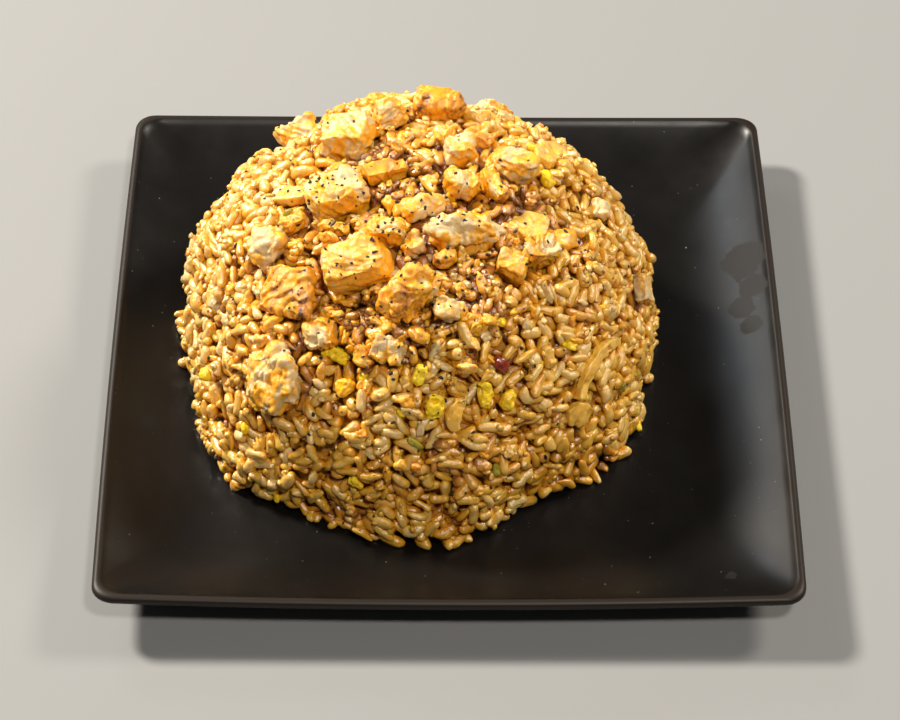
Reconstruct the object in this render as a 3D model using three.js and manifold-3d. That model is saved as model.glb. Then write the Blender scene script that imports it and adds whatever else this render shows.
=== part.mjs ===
// Chicken fried rice, turned out of a bowl onto a square black plate.
// Millimetres, +Z up. The origin is on the table under the plate's centre, with +X to the right and +Y to the
// back.
import * as THREE from "three";
import { mergeVertices } from "three/addons/utils/BufferGeometryUtils.js";
import Module from "manifold-3d";

const wasm = await Module();
wasm.setup();

// ---------------------------------------------------------------- driving dimensions

const GAP = 0.35; // clearance between pieces that touch

const PLATE = {
  half: 108, // half of the side, measured near the corners
  bow: 1.2, // how far each side bulges at its middle
  corner: 6, // corner radius at the rim
  rim: 16.5, // height of the rim at the middle of a side
  lift: 1.4, // how much higher the corners stand
  lip: 1.7, // radius of the rounded lip
  lipAngles: [117, 68, 20, -29], // degrees of the lip's edges, from its inner side over the top
  well: 6, // height of the well's flat top
  wellHalf: 72, // half of the flat well's width
  slope: [81, 89, 96, 102], // half widths of the facets' edges between the well and the lip
  under: [102, 93, 83], // and of those on the underside, from the lip in
  cornerSpread: 0.45, // how much the corners' radius grows for each millimetre in from the rim
  thick: 4,
  footOuter: 66,
  footInner: 60,
  footHeight: 2.2,
  footBevel: 1.2,
  sideSteps: 6, // facets along a side
  cornerSteps: 3, // facets round a corner
};

const MOUND = {
  x: -10.5, // the mound stands a little left of the plate's centre
  y: 2,
  radius: 75.5,
  height: 75,
  lean: 5, // the crown leans back
  flank: 3, // superellipse exponent of the plan: higher makes a steeper side
  crown: 2.2, // superellipse exponent of the height: higher makes a flatter top
  lobes: 7, // slumped lobes round the foot
  lobeDepth: 2.3,
  lobeTurn: -87, // degrees; the middle of the front lobe
  slump: 1.2, // how far the flanks wander in and out, three times round
  ripple: 0.8, // and five times round
  rings: 30, // facets from the crown to the foot
};

// Places where the rice has fallen away from the bowl's shape. Angles are seen from the middle of the mound's
// base.
const HOLLOWS = [
  { turn: -122, climb: 55, radius: 8, depth: 5 },
  { turn: -115, climb: 46, radius: 9, depth: 6 },
  { turn: -114, climb: 36, radius: 9, depth: 5 },
  { turn: -12, climb: 57, radius: 11, depth: 5 },
  { turn: 8, climb: 49, radius: 10, depth: 6 },
  { turn: 128, climb: 48, radius: 10, depth: 5 },
];

const GRAIN = {
  length: 8,
  width: 3.3,
  flatness: 0.9, // thickness against width
  sizes: [0.85, 1.15], // the smallest and the largest, against a plain grain
  rise: 1.9, // how far a grain of the packed surface stands out
  packed: 1500, // grains that shape the surface
  sides: 5,
  steps: 4,
};

// Whole grains that are fused on.
const LOOSE = {
  count: 16, // every other one lies round the foot
  tries: 2000,
  foot: [0.955, 0.975], // where those lie, as shares of the way from the crown to the foot
  dome: [0.02, 0.85], // and the others, as squares of such shares
  tip: [-0.25, 0.35], // how far they point into or out of the surface
  level: 0.2, // how much of its slope a grain round the foot keeps
  lift: [1.2, 2], // height of their middles over the bare core
};

// Where the pieces lie: turn is the angle round the mound, 0 to the right and -90 to the front, and climb the
// angle up from the middle of its base. size is width, depth and thickness, and spin turns a piece on the rice.
// A piece's middle lies at the surface, or out of it by that share of its thickness. square is 2 on a rounded
// piece and 7 on a sharp cube, and a piece with lobes is torn.
const CHICKEN = [
  // the crown, from its front edge to its back
  { turn: -119, climb: 62, size: [23, 16, 14], spin: 8, out: 0.1, square: 3.4 },
  { turn: -57, climb: 70, size: [24, 12, 11], spin: 14, out: 0.14, lobes: 5 },
  { turn: -93, climb: 59, size: [21, 14, 11], spin: 38, out: 0.05, square: 3, rough: 0.12 },
  { turn: -163, climb: 71, size: [20, 15, 13], spin: 24, out: 0.12, square: 5 },
  { turn: 139, climb: 69, size: [17, 17, 14], spin: -6, out: 0.1, square: 4.6 },
  { turn: 15, climb: 67, size: [17, 15, 13], spin: -28, out: 0.1, lobes: 3 },
  { turn: 78, climb: 62, size: [18, 13, 10], spin: -5, out: 0.3, square: 3.2, rough: 0.11 },
  { turn: 105, climb: 66, size: [12, 12, 11], spin: 15, out: 0.3, lobes: 3 },
  { turn: 166, climb: 83, size: [15, 7, 7], spin: 16, out: 0.24, square: 6 },
  { turn: -15, climb: 79, size: [13, 10, 11], spin: -20, out: 0.18, square: 2.8 },
  { turn: 42, climb: 76, size: [10, 10, 10], spin: 10, out: 0.15, square: 6 },
  { turn: -4, climb: 73, size: [17, 6, 7], spin: -62, out: 0.2, square: 4 },
  { turn: -80, climb: 80, size: [16, 9, 9], spin: 25, out: 0.18, square: 2.6 },
  { turn: -112, climb: 72, size: [13, 10, 9], spin: -10, out: 0.1, square: 3.2 },
  { turn: -92, climb: 70, size: [8.5, 7.5, 7], spin: 20, out: 0.1, square: 5 },
  { turn: -75, climb: 66, size: [9, 7, 7], spin: 30, out: 0.14, square: 2.4 },
  { turn: 46, climb: 69, size: [11, 6, 6], spin: -10, out: 0.15, square: 2.6 },
  // the right shoulder
  { turn: -47, climb: 58, size: [10.5, 9, 9], spin: -18, out: 0.1, square: 7 },
  { turn: -31, climb: 57, size: [10.5, 9, 9], spin: 8, out: 0.08, square: 7 },
  { turn: -16, climb: 54, size: [13, 8, 6], spin: 12, out: 0.04, square: 4 },
  { turn: 10, climb: 43, size: [8, 7, 6], spin: 20, out: 0.1, square: 5 },
  { turn: -2, climb: 25, size: [10, 10, 6], spin: 10, out: 0.1, square: 6 },
  // the front and the left
  { turn: -78, climb: 54.5, size: [12, 9, 8], spin: 0, out: 0.1, lobes: 4 },
  { turn: -129, climb: 33, size: [20, 22, 12], spin: 8, out: 0.06, lobes: 5 },
  { turn: -138, climb: 50, size: [20, 17, 5], spin: -14, out: 0.14, square: 5 },
  { turn: -158, climb: 53, size: [14, 13, 9], spin: 30, out: 0.04, lobes: 4 },
  { turn: -144, climb: 67, size: [13, 5, 5], spin: -22, out: 0.2, square: 5 },
  { turn: -160, climb: 61, size: [10.5, 8, 7], spin: 10, out: 0.1, lobes: 3 },
  { turn: -98, climb: 47, size: [12, 10, 7], spin: -25, out: 0.1, square: 3.2, rough: 0.13 },
  { turn: -105, climb: 45, size: [6.5, 6, 6], spin: -20, out: 0.18, square: 7 },
  { turn: -122, climb: 46, size: [10, 10, 8], spin: 12, out: 0.06, square: 4 },
  { turn: -163, climb: 34, size: [9, 8, 6], spin: 0, out: 0, lobes: 3 },
  // the back
  { turn: 66, climb: 41, size: [15, 12, 10], spin: 30, out: 0.08, lobes: 4 },
  { turn: 98, climb: 36, size: [17, 13, 10], spin: -20, out: 0.06, square: 4 },
  { turn: 127, climb: 38, size: [14, 11, 9], spin: 12, out: 0.06, square: 5 },
  { turn: 118, climb: 18, size: [11, 10, 8], spin: 40, out: 0.06, lobes: 3 },
];

const EGG = [
  { turn: -71, climb: 35.5, size: [5.5, 10, 4.5], spin: 8 },
  { turn: -65, climb: 33, size: [5, 6.5, 4.5], spin: -30 },
  { turn: -85, climb: 35, size: [6.5, 9, 4], spin: -8 },
  { turn: -89, climb: 42, size: [5, 8, 4], spin: -20 },
  { turn: -116, climb: 43.5, size: [10, 5, 4], spin: -22 },
  { turn: -104, climb: 15, size: [6.5, 3.5, 3.5], spin: -35 },
  { turn: -110, climb: 37, size: [7, 6, 4], spin: 20 },
  { turn: 13, climb: 58, size: [5.5, 7, 4], spin: 15 },
  { turn: 80, climb: 28, size: [8, 6, 4], spin: 50 },
  { turn: 150, climb: 26, size: [7, 9, 4], spin: -15 },
];

// Slices of onion layer, curved to the radius bend.
const ONION = [
  { turn: -37, climb: 31, size: [27, 4, 3], spin: 40, bend: 22 },
  { turn: -46, climb: 22, size: [9.5, 8, 2.6], spin: -12, bend: 18 },
  { turn: -80, climb: 33, size: [12, 4.5, 3], spin: 70, bend: 7 },
  { turn: 28, climb: 55, size: [12, 8, 2.6], spin: 70, bend: 30 },
  { turn: -20, climb: 62, size: [12, 10, 3], spin: 20, bend: 12 },
  { turn: -178, climb: 61, size: [11, 6, 3], spin: -12, bend: 20 },
  { turn: 108, climb: 44, size: [16, 4, 3], spin: -30, bend: 14 },
];

const CHILLI = [{ turn: -65, climb: 40.5, size: [7, 4.5, 4], spin: -35 }];

const CHUNK = {
  large: 180, // square millimetres seen from above, over which a piece gets more facets
  torn: 0.22, // depth of a torn piece's lobes, against half its size
  shear: 0.15, // how far its top may lean over its base
};

const SLICE_TAPER = 0.35; // how much narrower a slice of onion is at its ends

const COLOURS = {
  plate: { color: 0x1c1b1a, roughness: 0.5, metalness: 0 },
  rice: { color: 0xd9a45c, roughness: 0.45, metalness: 0 },
  chicken: { color: 0xe9bd7c, roughness: 0.55, metalness: 0 },
  egg: { color: 0xf0b81c, roughness: 0.5, metalness: 0 },
  onion: { color: 0xddb068, roughness: 0.3, metalness: 0 },
  chilli: { color: 0x5a1608, roughness: 0.4, metalness: 0 },
};

const radians = THREE.MathUtils.degToRad;
const random = THREE.MathUtils.seededRandom; // random(seed) starts a stream, random() gives its next number
const between = (low, high) => low + (high - low) * random();

// ---------------------------------------------------------------- solids

// The closed solid of a geometry, with its shared vertices merged.
function solidOf(geometry) {
  const bare = new THREE.BufferGeometry();
  bare.setAttribute("position", geometry.getAttribute("position"));
  bare.setIndex(geometry.index);
  const merged = mergeVertices(bare, 1e-4);
  return new wasm.Manifold(
    new wasm.Mesh({
      numProp: 3,
      vertProperties: new Float32Array(merged.attributes.position.array),
      triVerts: new Uint32Array(merged.index.array),
    }),
  );
}

function geometryOf(solid) {
  const mesh = solid.getMesh();
  const geometry = new THREE.BufferGeometry();
  geometry.setAttribute("position", new THREE.BufferAttribute(mesh.vertProperties, 3));
  geometry.setIndex(new THREE.BufferAttribute(mesh.triVerts, 1));
  geometry.computeVertexNormals();
  return geometry;
}

// What is left of a solid after a cut, without the loose scraps.
function largestBody(solid) {
  return solid.decompose().reduce((best, body) => (body.volume() > best.volume() ? body : best));
}

// A closed surface through rings of equally many points, each end closed by a fan round the ring's middle.
function throughRings(rings) {
  const count = rings[0].length;
  const points = rings.flat();
  const middle = (ring) => ring.reduce((sum, p) => sum.add(p), new THREE.Vector3()).divideScalar(count);
  const first = points.push(middle(rings[0])) - 1;
  const last = points.push(middle(rings.at(-1))) - 1;
  const index = [];
  for (let k = 0; k < count; k++) {
    const next = (k + 1) % count;
    index.push(first, k, next);
    for (let r = 0; r + 1 < rings.length; r++) {
      const [here, there] = [r * count, (r + 1) * count];
      index.push(here + k, there + k, there + next, here + k, there + next, here + next);
    }
    const end = (rings.length - 1) * count;
    index.push(last, end + next, end + k);
  }
  return new THREE.BufferGeometry().setFromPoints(points).setIndex(index);
}

// ---------------------------------------------------------------- plate

// How far a ring of this half width is on its way from the edge of the level well (0) to the rim (1).
const climbShare = (half) => Math.max(0, (half - PLATE.wellHalf) / (PLATE.half - PLATE.lip - PLATE.wellHalf));

// One level line of the plate: a square with round corners, bowed sides and lifted corners.
function squareRing(half, height) {
  const corner = PLATE.corner + PLATE.cornerSpread * (PLATE.half - half);
  const straight = half - corner;
  const ring = [];
  for (let side = 0; side < 4; side++) {
    const rotate = (side * Math.PI) / 2;
    const add = (x, y) => {
      const bulge = PLATE.bow * (half / PLATE.half) * (1 - Math.min(1, Math.abs(y) / half) ** 2);
      const lift = PLATE.lift * climbShare(half) ** 2 * ((x * y) / half ** 2) ** 2;
      const point = new THREE.Vector3(x + bulge, y, height + lift);
      ring.push(point.applyAxisAngle(new THREE.Vector3(0, 0, 1), rotate));
    };
    for (let i = 0; i < PLATE.sideSteps; i++) {
      add(half, straight * ((2 * i) / PLATE.sideSteps - 1));
    }
    for (let i = 0; i < PLATE.cornerSteps; i++) {
      const a = ((i / PLATE.cornerSteps) * Math.PI) / 2;
      add(straight + corner * Math.cos(a), straight + corner * Math.sin(a));
    }
  }
  return ring;
}

// Height of the dished top: level in the well, then curving up to the lip.
function dishHeight(half) {
  return PLATE.well + (PLATE.rim - PLATE.well) * climbShare(half) ** 2;
}

function dishRings() {
  return [PLATE.wellHalf, ...PLATE.slope].map((half) => squareRing(half, dishHeight(half)));
}

// The lip is part of a round bar: from its inner shoulder, over the top, to its outer underside.
function lipRings() {
  const { half, lip, lipAngles, rim } = PLATE;
  return lipAngles.map((degrees) => {
    const a = radians(degrees);
    return squareRing(half - lip + lip * Math.cos(a), rim - lip + lip * Math.sin(a));
  });
}

function underRings() {
  const { footOuter, footInner, footHeight, footBevel } = PLATE;
  return [
    ...PLATE.under.map((half) => squareRing(half, dishHeight(half) - PLATE.thick)),
    squareRing(footOuter + footBevel, footHeight),
    squareRing(footOuter, 0),
    squareRing(footInner, 0),
    squareRing(footInner - footBevel, footHeight),
  ];
}

const platePieces = { top: dishRings(), lip: lipRings(), under: underRings() };
const plateGeometry = throughRings([...platePieces.top, ...platePieces.lip, ...platePieces.under]);

// Everything under the dished top, kept clear by what lies on the plate.
function underTheDish() {
  const floor = -5;
  const rings = [...platePieces.top, ...platePieces.lip.slice(0, 2), squareRing(PLATE.half, floor)];
  return solidOf(throughRings(rings)).translate([0, 0, GAP]);
}

// ---------------------------------------------------------------- the mound's surface

// The bowl's shape from the crown (t = 0) to the foot (t = 1): x is the distance from the axis, y the height.
class MoundProfile extends THREE.Curve {
  getPoint(t, target = new THREE.Vector3()) {
    const a = (t * Math.PI) / 2;
    const reach = MOUND.radius * Math.sin(a) ** (2 / MOUND.flank);
    const height = MOUND.height * Math.max(0, Math.cos(a)) ** (2 / MOUND.crown);
    return target.set(reach, height, 0);
  }
}
const profile = new MoundProfile();
profile.arcLengthDivisions = 1000;

// How far from crown to foot, as a share, the surface is seen at this climb from the middle of the base.
function shareAt(climb) {
  let [low, high] = [0, 1];
  for (let i = 0; i < 30; i++) {
    const middle = (low + high) / 2;
    const p = profile.getPointAt(middle);
    if (Math.atan2(p.y, p.x) > climb) low = middle;
    else high = middle;
  }
  return low;
}

// The bare bowl's shape at a turn and this share of the way down, with its lobes and slumped flanks.
function bowlPoint(turn, share) {
  const p = profile.getPointAt(share);
  const lobe = MOUND.lobeDepth * share ** 3 * Math.cos(MOUND.lobes * (turn - radians(MOUND.lobeTurn)));
  const slump = MOUND.slump * share * Math.sin(3 * turn + 1);
  const ripple = MOUND.ripple * Math.sin(5 * turn + 9 * share);
  const reach = p.x + (lobe + slump + ripple) * Math.min(1, 4 * share);
  return new THREE.Vector3(
    MOUND.x + reach * Math.cos(turn),
    MOUND.y + MOUND.lean * (p.y / MOUND.height) + reach * Math.sin(turn),
    PLATE.well + p.y,
  );
}

// The outward direction of the surface, from its slopes round and down the mound.
function bowlNormal(turn, share) {
  const step = 0.01;
  const down = Math.max(share, 2 * step);
  const round = bowlPoint(turn + step, down).sub(bowlPoint(turn - step, down));
  const fall = bowlPoint(turn, Math.min(1, down + step)).sub(bowlPoint(turn, down - step));
  return fall.cross(round).normalize();
}

const hollows = HOLLOWS.map(({ turn, climb, radius, depth }) => ({
  middle: bowlPoint(radians(turn), shareAt(radians(climb))),
  radius,
  depth,
}));

function hollowDepth(point) {
  const away = (hollow) => point.distanceTo(hollow.middle) / hollow.radius;
  return hollows.reduce((sum, hollow) => sum + hollow.depth * Math.exp(-(away(hollow) ** 2)), 0);
}

// A point of the bare core, under the grains, and the direction out of it.
function corePoint(turn, share) {
  const point = bowlPoint(turn, share);
  const normal = bowlNormal(turn, share);
  return { point: point.addScaledVector(normal, -hollowDepth(point)), normal };
}

// A direction along the surface, at random.
function alongSurface(normal) {
  const direction = new THREE.Vector3(between(-1, 1), between(-1, 1), between(-1, 1));
  return direction.addScaledVector(normal, -direction.dot(normal)).normalize();
}

// Grains lying on the core, evenly over its area: a ring's share of them goes with its length.
function packedGrains() {
  random(12);
  const grains = [];
  while (grains.length < GRAIN.packed) {
    const share = random();
    if (random() * MOUND.radius > profile.getPointAt(share).x) continue;
    const { point, normal } = corePoint(between(-Math.PI, Math.PI), share);
    const along = alongSurface(normal);
    const size = between(...GRAIN.sizes);
    grains.push({ point, along, across: normal.clone().cross(along), size });
  }
  return grains;
}

// How far the grains lift the surface over a point of the core: each is half an ellipsoid, a little wider than
// a grain.
function grainRise(point, grains) {
  const offset = new THREE.Vector3();
  let rise = 0;
  for (const { point: middle, along, across, size } of grains) {
    offset.subVectors(point, middle);
    if (offset.lengthSq() > GRAIN.length ** 2) continue;
    const u = offset.dot(along) / ((GRAIN.length / 2) * size);
    const v = offset.dot(across) / ((GRAIN.width / 1.6) * size);
    const inside = 1 - u * u - v * v;
    if (inside > 0) rise = Math.max(rise, GRAIN.rise * size * Math.sqrt(inside));
  }
  return rise;
}

// The packed mound. Ring r has 4 r points, which keeps its facets about as wide as they are high. The last ring
// drops to a level base inside the plate, and the dish then cuts it to length.
function moundSolid() {
  const grains = packedGrains();
  const points = [];
  for (let ring = 0; ring <= MOUND.rings; ring++) {
    const count = Math.max(1, 4 * ring);
    for (let k = 0; k < count; k++) {
      const { point, normal } = corePoint((k / count) * 2 * Math.PI, ring / MOUND.rings);
      point.addScaledVector(normal, grainRise(point.clone(), grains));
      points.push(ring < MOUND.rings ? point : point.setZ(0));
    }
  }
  const index = [];
  const start = (ring) => (ring === 0 ? 0 : 1 + 2 * ring * (ring - 1));
  const at = (ring, k) => start(ring) + (k % Math.max(1, 4 * ring));
  for (let ring = 1; ring <= MOUND.rings; ring++) {
    for (let k = 0; k < 4 * ring; k++) {
      const inner = k - Math.floor(k / ring); // each quarter has one point fewer on the ring inside
      index.push(at(ring - 1, inner), at(ring, k), at(ring, k + 1));
      if ((k + 1) % ring !== 0) {
        index.push(at(ring - 1, inner), at(ring, k + 1), at(ring - 1, inner + 1));
      }
    }
  }
  const base = start(MOUND.rings);
  const middle = points.push(new THREE.Vector3(MOUND.x, MOUND.y, 0)) - 1;
  for (let k = 0; k < 4 * MOUND.rings; k++) {
    index.push(middle, at(MOUND.rings, k + 1), base + k);
  }
  return solidOf(new THREE.BufferGeometry().setFromPoints(points).setIndex(index));
}

// ---------------------------------------------------------------- pieces

// A smooth unevenness from -1 to 1 over directions, finer where there are more lobes.
function waves(lobes) {
  const all = [];
  for (let i = 0; i < 3; i++) {
    const direction = new THREE.Vector3(between(-1, 1), between(-1, 1), between(-1, 1)).normalize();
    direction.multiplyScalar(between(0.8, 1.2) * lobes);
    all.push({ direction, phase: between(0, 2 * Math.PI) });
  }
  return (v) => all.reduce((sum, w) => sum + Math.sin(v.dot(w.direction) + w.phase), 0) / all.length;
}

// A box rounded towards an ellipsoid (square 2) or left nearly sharp (square 7), with uneven or torn sides.
function chunkSolid([wide, deep, thick], { square = 2.6, rough = 0.1, lobes = 0 }, grow) {
  const steps = wide * deep > CHUNK.large ? 3 : 2;
  const geometry = new THREE.BoxGeometry(2, 2, 2, steps, steps, 2);
  const positions = geometry.getAttribute("position");
  const uneven = waves(lobes || 3);
  const depth = lobes ? CHUNK.torn : rough;
  const shear = between(-CHUNK.shear, CHUNK.shear);
  const v = new THREE.Vector3();
  for (let i = 0; i < positions.count; i++) {
    v.fromBufferAttribute(positions, i);
    const norm = (Math.abs(v.x) ** square + Math.abs(v.y) ** square + Math.abs(v.z) ** square) ** (1 / square);
    v.divideScalar(norm);
    v.multiplyScalar(1 + depth * uneven(v));
    v.x += shear * v.z;
    v.multiply(new THREE.Vector3(wide / 2 + grow, deep / 2 + grow, thick / 2 + grow));
    positions.setXYZ(i, v.x, v.y, v.z);
  }
  return solidOf(geometry);
}

// A slice of onion layer: a thin strip, narrower at its ends and curved in its own plane.
function bentSolid([wide, deep, thick], radius, grow) {
  const geometry = new THREE.BoxGeometry(2, 2, 2, 5, 1, 1);
  const positions = geometry.getAttribute("position");
  for (let i = 0; i < positions.count; i++) {
    const [x, y, z] = [positions.getX(i), positions.getY(i), positions.getZ(i)];
    const taper = 1 - SLICE_TAPER * x * x;
    const a = (x * (wide / 2 + grow)) / radius;
    const reach = radius + y * taper * (deep / 2 + grow);
    positions.setXYZ(i, reach * Math.sin(a), reach * Math.cos(a) - radius, z * (thick / 2 + grow));
  }
  return solidOf(geometry);
}

// A piece's solid where it lies. Its own x axis points as near to +X as the surface lets it, before its spin.
function pieceSolid(piece, seed, grow) {
  const { size, spin = 0, out = 0, bend } = piece;
  random(seed);
  const solid = bend ? bentSolid(size, bend, grow) : chunkSolid(size, piece, grow);
  const { point, normal } = corePoint(radians(piece.turn), shareAt(radians(piece.climb)));
  const x = new THREE.Vector3(1, 0, 0).addScaledVector(normal, -normal.x).normalize();
  const matrix = new THREE.Matrix4().makeBasis(x, normal.clone().cross(x), normal);
  matrix.multiply(new THREE.Matrix4().makeRotationZ(radians(spin)));
  matrix.setPosition(point.addScaledVector(normal, GRAIN.rise / 2 + out * size[2]));
  return solid.transform(matrix.toArray());
}

// All pieces of a list as named solids. Each is cut clear of those before it.
const placed = [];
function placeAll(name, list, seed) {
  list.forEach((piece, i) => {
    let solid = pieceSolid(piece, seed + i, 0);
    const space = pieceSolid(piece, seed + i, GAP);
    for (const other of placed) {
      if (solid.intersect(other.space).isEmpty()) continue;
      solid = largestBody(solid.subtract(other.space));
    }
    const label = list.length > 1 ? `${name}_${String(i + 1).padStart(2, "0")}` : name;
    placed.push({ label, kind: name, solid, space });
  });
}
placeAll("chicken", CHICKEN, 100);
placeAll("egg", EGG, 200);
placeAll("onion", ONION, 300);
placeAll("chilli", CHILLI, 400);

// ---------------------------------------------------------------- rice

// A whole grain: a spindle whose middle is at the origin and which points along z.
function grainGeometry(size) {
  const grain = new THREE.SphereGeometry(1, GRAIN.sides, GRAIN.steps);
  grain.rotateX(Math.PI / 2);
  const radius = (GRAIN.width / 2) * size;
  return grain.scale(radius, radius * GRAIN.flatness, (GRAIN.length / 2) * size);
}

// Grains that stand out of the packed surface, and others that lie round the foot, clear of the pieces and the
// dish.
function looseGrains() {
  random(21);
  const kept = [underTheDish(), ...placed.map(({ space }) => space)];
  const grains = [];
  for (let tries = 0; grains.length < LOOSE.count && tries < LOOSE.tries; tries++) {
    const atFoot = grains.length % 2 === 0;
    const share = atFoot ? between(...LOOSE.foot) : Math.sqrt(between(...LOOSE.dome));
    const { point, normal } = corePoint(between(-Math.PI, Math.PI), share);
    const along = alongSurface(normal).addScaledVector(normal, between(...LOOSE.tip));
    along.z *= atFoot ? LOOSE.level : 1;
    const matrix = new THREE.Matrix4().lookAt(along.normalize(), new THREE.Vector3(), normal);
    matrix.setPosition(point.addScaledVector(normal, between(...LOOSE.lift)));
    const grain = solidOf(grainGeometry(between(...GRAIN.sizes)).applyMatrix4(matrix));
    if (kept.every((space) => space.intersect(grain).isEmpty())) grains.push(grain);
  }
  return grains;
}

const riceSolid = largestBody(
  wasm.Manifold.union([moundSolid(), ...looseGrains()])
    .subtract(wasm.Manifold.union(placed.map(({ space }) => space)))
    .subtract(underTheDish()),
);

// ---------------------------------------------------------------- the scene graph

const part = new THREE.Group();
function addMesh(name, kind, geometry) {
  const mesh = new THREE.Mesh(geometry, new THREE.MeshStandardMaterial(COLOURS[kind]));
  mesh.name = name;
  part.add(mesh);
}
addMesh("plate", "plate", plateGeometry);
addMesh("rice", "rice", geometryOf(riceSolid));
for (const { label, kind, solid } of placed) {
  addMesh(label, kind, geometryOf(solid));
}

export default part;
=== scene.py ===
"""Chicken fried rice on a square black plate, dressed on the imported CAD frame. Lengths are in millimetres until a mesh
is made; Blender objects are in metres, +X right, +Y back, +Z up, with the origin on the table under the plate."""

import math

import bmesh
import bpy
import numpy as np
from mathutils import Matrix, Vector
from mathutils.bvhtree import BVHTree


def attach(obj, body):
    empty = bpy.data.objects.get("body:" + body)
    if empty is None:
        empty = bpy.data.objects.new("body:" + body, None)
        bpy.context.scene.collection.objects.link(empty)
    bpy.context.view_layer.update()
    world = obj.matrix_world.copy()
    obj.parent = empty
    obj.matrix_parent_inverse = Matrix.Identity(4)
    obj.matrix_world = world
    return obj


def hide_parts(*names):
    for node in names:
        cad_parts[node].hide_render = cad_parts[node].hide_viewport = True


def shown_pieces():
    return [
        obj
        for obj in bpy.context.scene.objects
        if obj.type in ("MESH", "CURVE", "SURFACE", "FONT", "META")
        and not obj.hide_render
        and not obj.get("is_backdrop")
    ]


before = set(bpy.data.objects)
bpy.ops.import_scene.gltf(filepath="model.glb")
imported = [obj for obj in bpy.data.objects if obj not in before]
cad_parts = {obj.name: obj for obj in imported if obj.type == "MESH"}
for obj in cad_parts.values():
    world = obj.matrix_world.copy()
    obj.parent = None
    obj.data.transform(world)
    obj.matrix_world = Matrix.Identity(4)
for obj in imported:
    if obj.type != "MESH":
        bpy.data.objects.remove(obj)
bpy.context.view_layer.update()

MM = 0.001
BODY = "root"

# ---------------------------------------------------------------- driving dimensions, as in the CAD source

PLATE = {
    "half": 108.0,
    "bow": 1.2,
    "corner": 6.0,
    "corner_spread": 0.45,
    "rim": 16.5,
    "lift": 1.4,
    "lip": 1.7,
    "well": 6.0,
    "well_half": 72.0,
    "thick": 4.0,
    "foot_outer": 66.0,
    "foot_inner": 60.0,
    "foot_height": 2.2,
    "foot_bevel": 1.2,
}

MOUND = {
    "x": -10.5,
    "y": 2.0,
    "radius": 75.5,
    "height": 75.0,
    "lean": 5.0,
    "flank": 3.0,
    "crown": 2.2,
    "lobes": 7,
    "lobe_depth": 2.3,
    "lobe_turn": -87.0,
    "slump": 1.2,
    "ripple": 0.8,
}

# turn and climb in degrees, radius and depth
HOLLOWS = [
    (-122, 55, 8, 5),
    (-115, 46, 9, 6),
    (-114, 36, 9, 5),
    (-12, 57, 11, 5),
    (8, 49, 10, 6),
    (128, 48, 10, 5),
]

CAMERA = {
    "place": (-9.64, -683.0, 736.48),
    "target": (0.6, -8.49, 16.94),
    "roll": 0.823,  # degrees
    "lens": 122.09,  # for a sensor 36 wide
}

GRAIN_RADIUS = 1.6  # of the balls that stand for a grain while it settles
PACKING = 0.56  # how close two grains come, as a share of touching
CORE_DEPTH = 3.0  # how far the dark core lies under the CAD core
RICE_TOP = 2.4  # how far the grains' tops stand out of the CAD core
UNDER = 3.5  # grains whose tops are lower than this over the dark core are mostly hidden, and plainer


# ---------------------------------------------------------------- small helpers


def unit(v):
    return v / np.maximum(np.linalg.norm(v, axis=-1, keepdims=True), 1e-12)


def mesh_object(name, points, faces, material, smooth=True):
    """A mesh from an array of points in millimetres and an array of triangles or quads."""
    mesh = bpy.data.meshes.new(name)
    count, sides = faces.shape
    mesh.vertices.add(len(points))
    mesh.vertices.foreach_set("co", (points * MM).astype(np.float32).ravel())
    mesh.loops.add(count * sides)
    mesh.loops.foreach_set("vertex_index", faces.astype(np.int32).ravel())
    mesh.polygons.add(count)
    mesh.polygons.foreach_set("loop_start", np.arange(0, count * sides, sides, dtype=np.int32))
    mesh.polygons.foreach_set("use_smooth", np.full(count, smooth))
    mesh.update(calc_edges=True)
    mesh.materials.append(material)
    obj = bpy.data.objects.new(name, mesh)
    bpy.context.scene.collection.objects.link(obj)
    return obj


def set_point_values(obj, name, values):
    """A number for each point of a mesh, for its shader."""
    layer = obj.data.attributes.new(name, "FLOAT", "POINT")
    layer.data.foreach_set("value", values.astype(np.float32))


def points_of(mesh):
    points = np.empty(len(mesh.vertices) * 3, np.float32)
    mesh.vertices.foreach_get("co", points)
    return points.reshape(-1, 3).astype(float) / MM


def normals_of(mesh):
    normals = np.empty(len(mesh.vertices) * 3, np.float32)
    mesh.vertex_normals.foreach_get("vector", normals)
    return normals.reshape(-1, 3).astype(float)


def lattice_noise(points, seed):
    """Smooth noise from -1 to 1 whose waves are about one unit long."""
    cell = np.floor(points).astype(np.int64)
    share = points - cell
    share = share * share * (3 - 2 * share)
    total = np.zeros(len(points))
    for corner in range(8):
        step = np.array([corner & 1, (corner >> 1) & 1, corner >> 2])
        x, y, z = (cell + step).T
        value = (x * 73856093) ^ (y * 19349663) ^ (z * 83492791) ^ (seed * 2654435761)
        value = ((value ^ (value >> 13)) * 1274126177) & 0xFFFFFFFF
        value = ((value ^ (value >> 16)) * 2246822519) & 0xFFFFFFFF
        weight = np.prod(np.where(step == 1, share, 1 - share), axis=1)
        total += weight * (value / 0x7FFFFFFF - 1)
    return total


def rough_noise(points, seed, octaves=3):
    """Several sizes of noise together."""
    total = np.zeros(len(points))
    for octave in range(octaves):
        total += lattice_noise(points * 2**octave + 17.3 * octave, seed + octave) / 2**octave
    return total / (2 - 0.5 ** (octaves - 1))


# ---------------------------------------------------------------- the mound's surface


def profile_table(count=2000):
    """Reach and height of the bowl's shape, with the length along it, from crown to foot."""
    a = np.linspace(0, math.pi / 2, count)
    reach = MOUND["radius"] * np.sin(a) ** (2 / MOUND["flank"])
    height = MOUND["height"] * np.maximum(0, np.cos(a)) ** (2 / MOUND["crown"])
    length = np.concatenate([[0], np.cumsum(np.hypot(np.diff(reach), np.diff(height)))])
    return reach, height, length / length[-1]


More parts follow.
